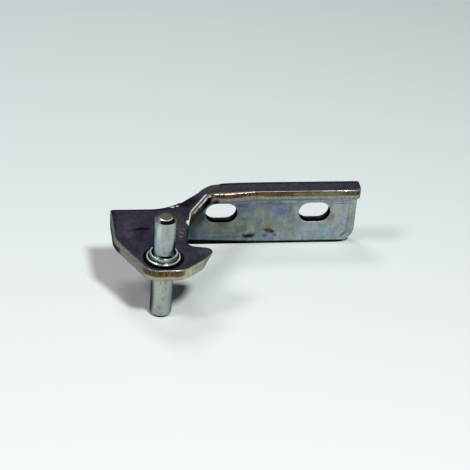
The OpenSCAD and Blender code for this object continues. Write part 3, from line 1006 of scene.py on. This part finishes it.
# Stains on the pin, among them painted highlights and dark reflections: place, reach, tone, part.
PIN_STAINS = (
    ((-1.6, -2.6, 13.6), (0.45, 1.2, 0.5), "soot_and_shade", 0.75),
    ((0.4, -3.2, 7.2), (1.6, 1.4, 0.8), "end", 0.45),
    ((0, -4.6, 4.6), (1.9, 2, 1.1), "end", 0.75),
    # Painted highlight on the right of the collar.
    ((4.3, -2, 4.9), (1.6, 2, 1.2), "bright", 0.85),
    # Dark bands at the stubs' sides, this line and the next two: painted dark reflections.
    ((3.1, -0.8, 7.5), (0.9, 2.2, 3.5), "soot_and_shade", 0.75),
    ((-3.1, -1, -9), (1.1, 2.2, 9), "soot_and_shade", 0.75),
    ((-3.1, -1, 10), (0.7, 2.2, 8), "soot_and_shade", 0.35),
    ((0.6, -3, -2.6), (0.7, 1.5, 1.9), "gold", 0.85),
    ((-1.2, -2.9, -1), (1.2, 1.5, 0.9), "gold", 0.75),
    ((1.6, -2.6, -0.8), (0.9, 1.5, 0.8), "gold", 0.7),
    ((0.9, -3, -5.2), (0.35, 1.4, 1.2), "gold", 0.55),
    ((-0.8, -3, -3.2), (0.3, 1.4, 1.4), "soot_and_shade", 0.35),
    ((-1, -3, -12), (0.9, 1.4, 1), "end", 0.45),
    ((0.3, -3, -9), (0.35, 1.4, 0.6), "end", 0.45),
    # Painted highlight on the upper stub.
    ((-1.9, -2.6, 13.6), (0.8, 1.5, 3.6), "bright", 0.9),
    ((0.4, -3.2, 14), (0.9, 1.5, 3.4), "end", 0.3),
    ((0.2, -3, 7.6), (3.4, 1.8, 3.2), "end", 0.16),
    ((-0.8, -3, -14.6), (2.2, 1.8, 1.5), "end", 0.25),
    ((-2.6, -1.8, 9.5), (0.9, 1.5, 4.5), "cool", 0.6),
    ((0.5, -3.2, 10.5), (0.7, 1.5, 4.5), "lilac", 0.5),
    ((2.6, -1.8, 10.5), (0.8, 1.5, 5), "sea", 0.5),
    ((2.4, -2, -8), (0.9, 1.5, 6), "sea", 0.5),
)


def pin_material(c, p, s):
    """Turned steel with fine streaks along the stubs and turned rings on the collar, with painted shade in the
    grooves and painted highlights and dark reflections.
    """
    material, t = new_material("plated_pin")
    smooth, fall, within, times, paint = t.smooth, t.fall, t.within, t.times, t.paint
    at = in_mm(t)
    x, y, z = t.axes(at)
    radius = from_axis(t, at)
    leaf, stub, step, top, low = (value / MM for value in (s.thickness, p.stub, p.step, p.top, p.low))
    ledge = leaf + p.collar_h / MM
    foot = ledge + p.step_h / MM
    streaks = t.noise(t.stretched(at, 1.0, 1.0, 0.05), 1.3, 2.0, 1.0, 0.5)
    rings = t.noise(t.place(radius, z), 4.0, 2.0, 2.0)
    base = paint(c.body, c.cool, fall(streaks, 0.40, 0.50, 0.85))
    base = paint(base, c.warm, smooth(streaks, 0.52, 0.62, 0.0, 0.9))
    base = paint(base, c.warm, smooth(z, 1.0, -1.0, 0.0, 0.5))
    for middle, reach, tone, part in PIN_STAINS:
        base = stain(t, base, at, middle, reach, getattr(c, tone), part)

    front = t.plus(times(x, 0.25), times(y, -0.97))
    down = t.math("DIVIDE", t.less(top, z), p.top_chamfer_h / MM)
    lead = times(within(down, 0.02, 1.05, 0.05), smooth(radius, 1.8, 2.1))
    # The chamfer is darker at its front: painted dark reflection.
    chamfer = t.mix(times(smooth(front, 0.4, 1.6), within(x, -1.6, 2.4, 0.8)), c.chamfer, c.chamfer_dark_reflection)
    groove_shade = t.most(within(x, -1.0, 1.8, 0.6), smooth(y, -1.9, -1.0, 0.30, 0.95))
    collar = times(smooth(radius, stub + 0.3, stub + 0.5), within(z, leaf, foot, 0.2))
    for tone, *parts in (
        (c.end, smooth(z, top - 0.08, top - 0.02)),
        (chamfer, lead, 0.9),
        # Near-black crescent on the chamfer's front: painted dark reflection.
        (c.soot_and_shade, within(down, 0.25, 1.0, 0.06), smooth(front, 0.6, 1.6), within(x, -1.5, 2.2, 0.5)),
        # Pale arc on the chamfer's upper edge: painted highlight.
        (c.bright, within(down, 0.04, 0.17, 0.04), within(x, -1.3, 1.7, 0.6), fall(y, -1.0, 0.0)),
        # These three: dark grooves at the upper stub's foot and between the collar's steps, painted shade.
        (c.soot_and_shade, within(radius, 0.0, stub + 0.42, 0.08), within(z, foot - 0.5, foot + 0.35, 0.15), groove_shade),
        (c.soot_and_shade, within(radius, step - 0.2, step + 0.30, 0.05), within(z, ledge - 0.5, ledge + 0.15, 0.1)),
        (c.soot_and_shade, within(radius, step - 0.3, step - 0.12, 0.06), within(z, foot - 0.3, foot + 0.1, 0.1), 0.8),
        # Near-black ring where the collar meets the leaf: painted contact shadow.
        (c.soot_and_shade, within(z, leaf - 0.3, leaf + 0.22, 0.1)),
        # Dark lower end: painted dark reflection on its chamfer.
        (c.soot_and_shade, fall(z, low + 0.25, low + 0.8, 0.8)),
        # Dark and light arcs on the collar's turned rings: painted shade and painted highlights.
        (c.soot_and_shade, collar, smooth(rings, 0.46, 0.60, 0.0, 0.25)),
        (c.bright, collar, smooth(rings, 0.54, 0.42, 0.0, 0.7)),
    ):
        base = paint(base, tone, *parts)
    base = t.shade(base, smooth(t.noise(at, 1.6, 3.0, 4.0, 0.6), 0.3, 0.7, 0.86, 1.14))
    rough = smooth(t.noise(at, 0.5, 3.0, 3.0), 0.35, 0.65, 0.14, 0.24)
    height = t.plus(times(streaks, 0.6), times(rings, 0.5))
    return plated(material, t, base, rough, height, strength=0.4, distance=0.04)


# The studio.

# Lamps: name, place, width and tint. Their powers stand in the studio's settings.
LAMPS = (
    ("main", (0.145, -0.349, 0.62), 0.12, (0.975, 1.0, 0.985)),
    ("side", (-0.413, -0.129, 0.58), 0.20, (1.0, 0.90, 0.98)),
    ("back", (-0.122, 0.351, 0.62), 0.25, (0.96, 0.98, 1.0)),
)
LAMP_AIM = Vector((0.02, 0.02, 0.0))
EVEN_TINT = (0.95, 0.97, 1.0, 1)
FLOOR_REACH = 1.6  # Half the floor's width, in metres.
FLOOR_GAP = 0.02 * MM  # Between the hinge and the floor.
FLOOR_TURN = (-0.06, 0.16)  # Where the near colour of the floor ends and the far one is reached, along Y.
SENSOR_WIDTH = 36.0


def make_floor(st, p, s):
    """A wide floor, tilted so that the hinge rests on the rim of its lower stub and the flange's lower edge."""
    front = (p.low_chamfer - p.stub, p.low)
    back = (s.bend_line + s.bend_radius, s.thickness - s.drop)
    slope = (back[1] - front[1]) / (back[0] - front[0])
    level = front[1] - slope * front[0] - FLOOR_GAP
    corners = [(x * FLOOR_REACH, y * FLOOR_REACH) for x, y in ((-1, -1), (1, -1), (1, 1), (-1, 1))]
    mesh = bpy.data.meshes.new("floor")
    mesh.from_pydata([(x, y, level + slope * y) for x, y in corners], [], [(0, 1, 2, 3)])
    material, t = new_material("floor")
    far = t.smooth(t.axes(t.add("ShaderNodeTexCoord").outputs["Object"])[1], *FLOOR_TURN)
    tone = t.mix(far, st.floor_near, st.floor_far)
    shader = t.out("ShaderNodeBsdfPrincipled", {"Base Color": tone, "Roughness": 0.9})
    t.add("ShaderNodeOutputMaterial", {"Surface": shader})
    mesh.materials.append(material)
    link("floor", mesh)


def make_world(st):
    """Weak light from all sides, and the backdrop's colour for the camera and for reflections."""
    world = bpy.data.worlds.new("studio")
    t = empty_tree(world)
    ray = t.add("ShaderNodeLightPath").outputs
    seen = t.most(ray["Is Camera Ray"], ray["Is Glossy Ray"], ray["Is Transmission Ray"])
    light = t.out("ShaderNodeBackground", {0: EVEN_TINT, 1: st.even})
    pale = t.out("ShaderNodeBackground", {0: (*st.backdrop, 1), 1: 1.0})
    t.add("ShaderNodeOutputWorld", {0: t.out("ShaderNodeMixShader", {0: seen, 1: light, 2: pale})})
    bpy.context.scene.world = world


def make_lamps(st):
    """Soft round lamps that point at the hinge."""
    for name, spot, wide, tint in LAMPS:
        lamp = bpy.data.lights.new(name, "AREA")
        lamp.shape, lamp.size, lamp.energy, lamp.color = "DISK", wide, getattr(st, name + "_lamp"), tint
        light = link(name, lamp)
        light.location = spot
        light.rotation_euler = (LAMP_AIM - Vector(spot)).to_track_quat("-Z", "Y").to_euler()


def make_camera(st):
    """The camera as it was solved from the photograph."""
    camera = bpy.data.cameras.new("camera")
    camera.lens, camera.sensor_width, camera.clip_start = st.lens, SENSOR_WIDTH, 0.01
    holder = link("camera", camera)
    holder.location, holder.rotation_euler = st.camera_place, st.camera_turn
    bpy.context.scene.camera = holder


# Operators, one for each piece and one for the studio.


class HINGE_OT_bracket(bpy.types.Operator):
    """Punch the blank, roll its edges and bend it into the bracket"""

    bl_idname = "hinge.bracket"
    bl_label = "Bracket"

    def execute(self, context):
        s = context.scene.hinge_sheet
        slot_y = flange_at(s, s.slot_drop / MM)
        bore = s.bore / MM
        loops = [rounded_loop(blank_corners(s), s.mesh_step / MM)]
        for x in (s.near_slot, s.far_slot):
            loops.append(slot_loop(x / MM, slot_y, s.slot_length / MM, s.slot_width / MM))
        loops.append(slot_loop(0.0, 0.0, bore, bore))
        material = sheet_material(context.scene.hinge_colours, s)
        values = {**named_sizes(s), "Seed": WAVE_SEED, "Material": material}
        piece = run_tree("bracket_sheet", blank_mesh(s, loops), fold_tree(), values)
        finish_normals(piece)
        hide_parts("bracket")
        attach(piece, "root")
        return {"FINISHED"}


class HINGE_OT_pin(bpy.types.Operator):
    """Turn the pin with its two stubs and its stepped collar"""

    bl_idname = "hinge.pin"
    bl_label = "Pin"

    def execute(self, context):
        p, s = context.scene.hinge_pin_sizes, context.scene.hinge_sheet
        material = pin_material(context.scene.hinge_pin_colours, p, s)
        values = {**named_sizes(p), "Leaf thickness": s.thickness, "Material": material}
        piece = run_tree("turned_pin", bpy.data.meshes.new("pin_start"), turning_tree(), values)
        finish_normals(piece, turn_out=True)
        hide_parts("hinge_pin")
        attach(piece, "root")
        return {"FINISHED"}


class HINGE_OT_studio(bpy.types.Operator):
    """Set up the pale floor, the soft lamps and the camera"""

    bl_idname = "hinge.studio"
    bl_label = "Studio"

    def execute(self, context):
        scene = context.scene
        scene.view_settings.view_transform = "Standard"
        make_floor(scene.hinge_studio, scene.hinge_pin_sizes, scene.hinge_sheet)
        make_world(scene.hinge_studio)
        make_lamps(scene.hinge_studio)
        make_camera(scene.hinge_studio)
        return {"FINISHED"}


class HINGE_PT_sidebar(bpy.types.Panel):
    """Lists the steps that build the hinge"""

    bl_label = "Middle hinge"
    bl_idname = "HINGE_PT_sidebar"
    bl_space_type = "VIEW_3D"
    bl_region_type = "UI"
    bl_category = "Hinge"

    def draw(self, context):
        for step in STEPS:
            self.layout.operator(step.bl_idname)


GROUPS = (
    ("hinge_sheet", HingeSheetSizes),
    ("hinge_pin_sizes", HingePinSizes),
    ("hinge_colours", HingeColours),
    ("hinge_pin_colours", HingePinColours),
    ("hinge_studio", HingeStudio),
)
STEPS = (HINGE_OT_bracket, HINGE_OT_pin, HINGE_OT_studio)


def register():
    for name, group in GROUPS:
        bpy.utils.register_class(group)
        setattr(bpy.types.Scene, name, bpy.props.PointerProperty(type=group))
    for cls in (*STEPS, HINGE_PT_sidebar):
        bpy.utils.register_class(cls)


def unregister():
    for cls in reversed((*STEPS, HINGE_PT_sidebar)):
        bpy.utils.unregister_class(cls)
    for name, group in reversed(GROUPS):
        delattr(bpy.types.Scene, name)
        bpy.utils.unregister_class(group)


def main():
    register()
    bpy.ops.hinge.bracket()
    bpy.ops.hinge.pin()
    bpy.ops.hinge.studio()


if __name__ == "__main__":
    main()
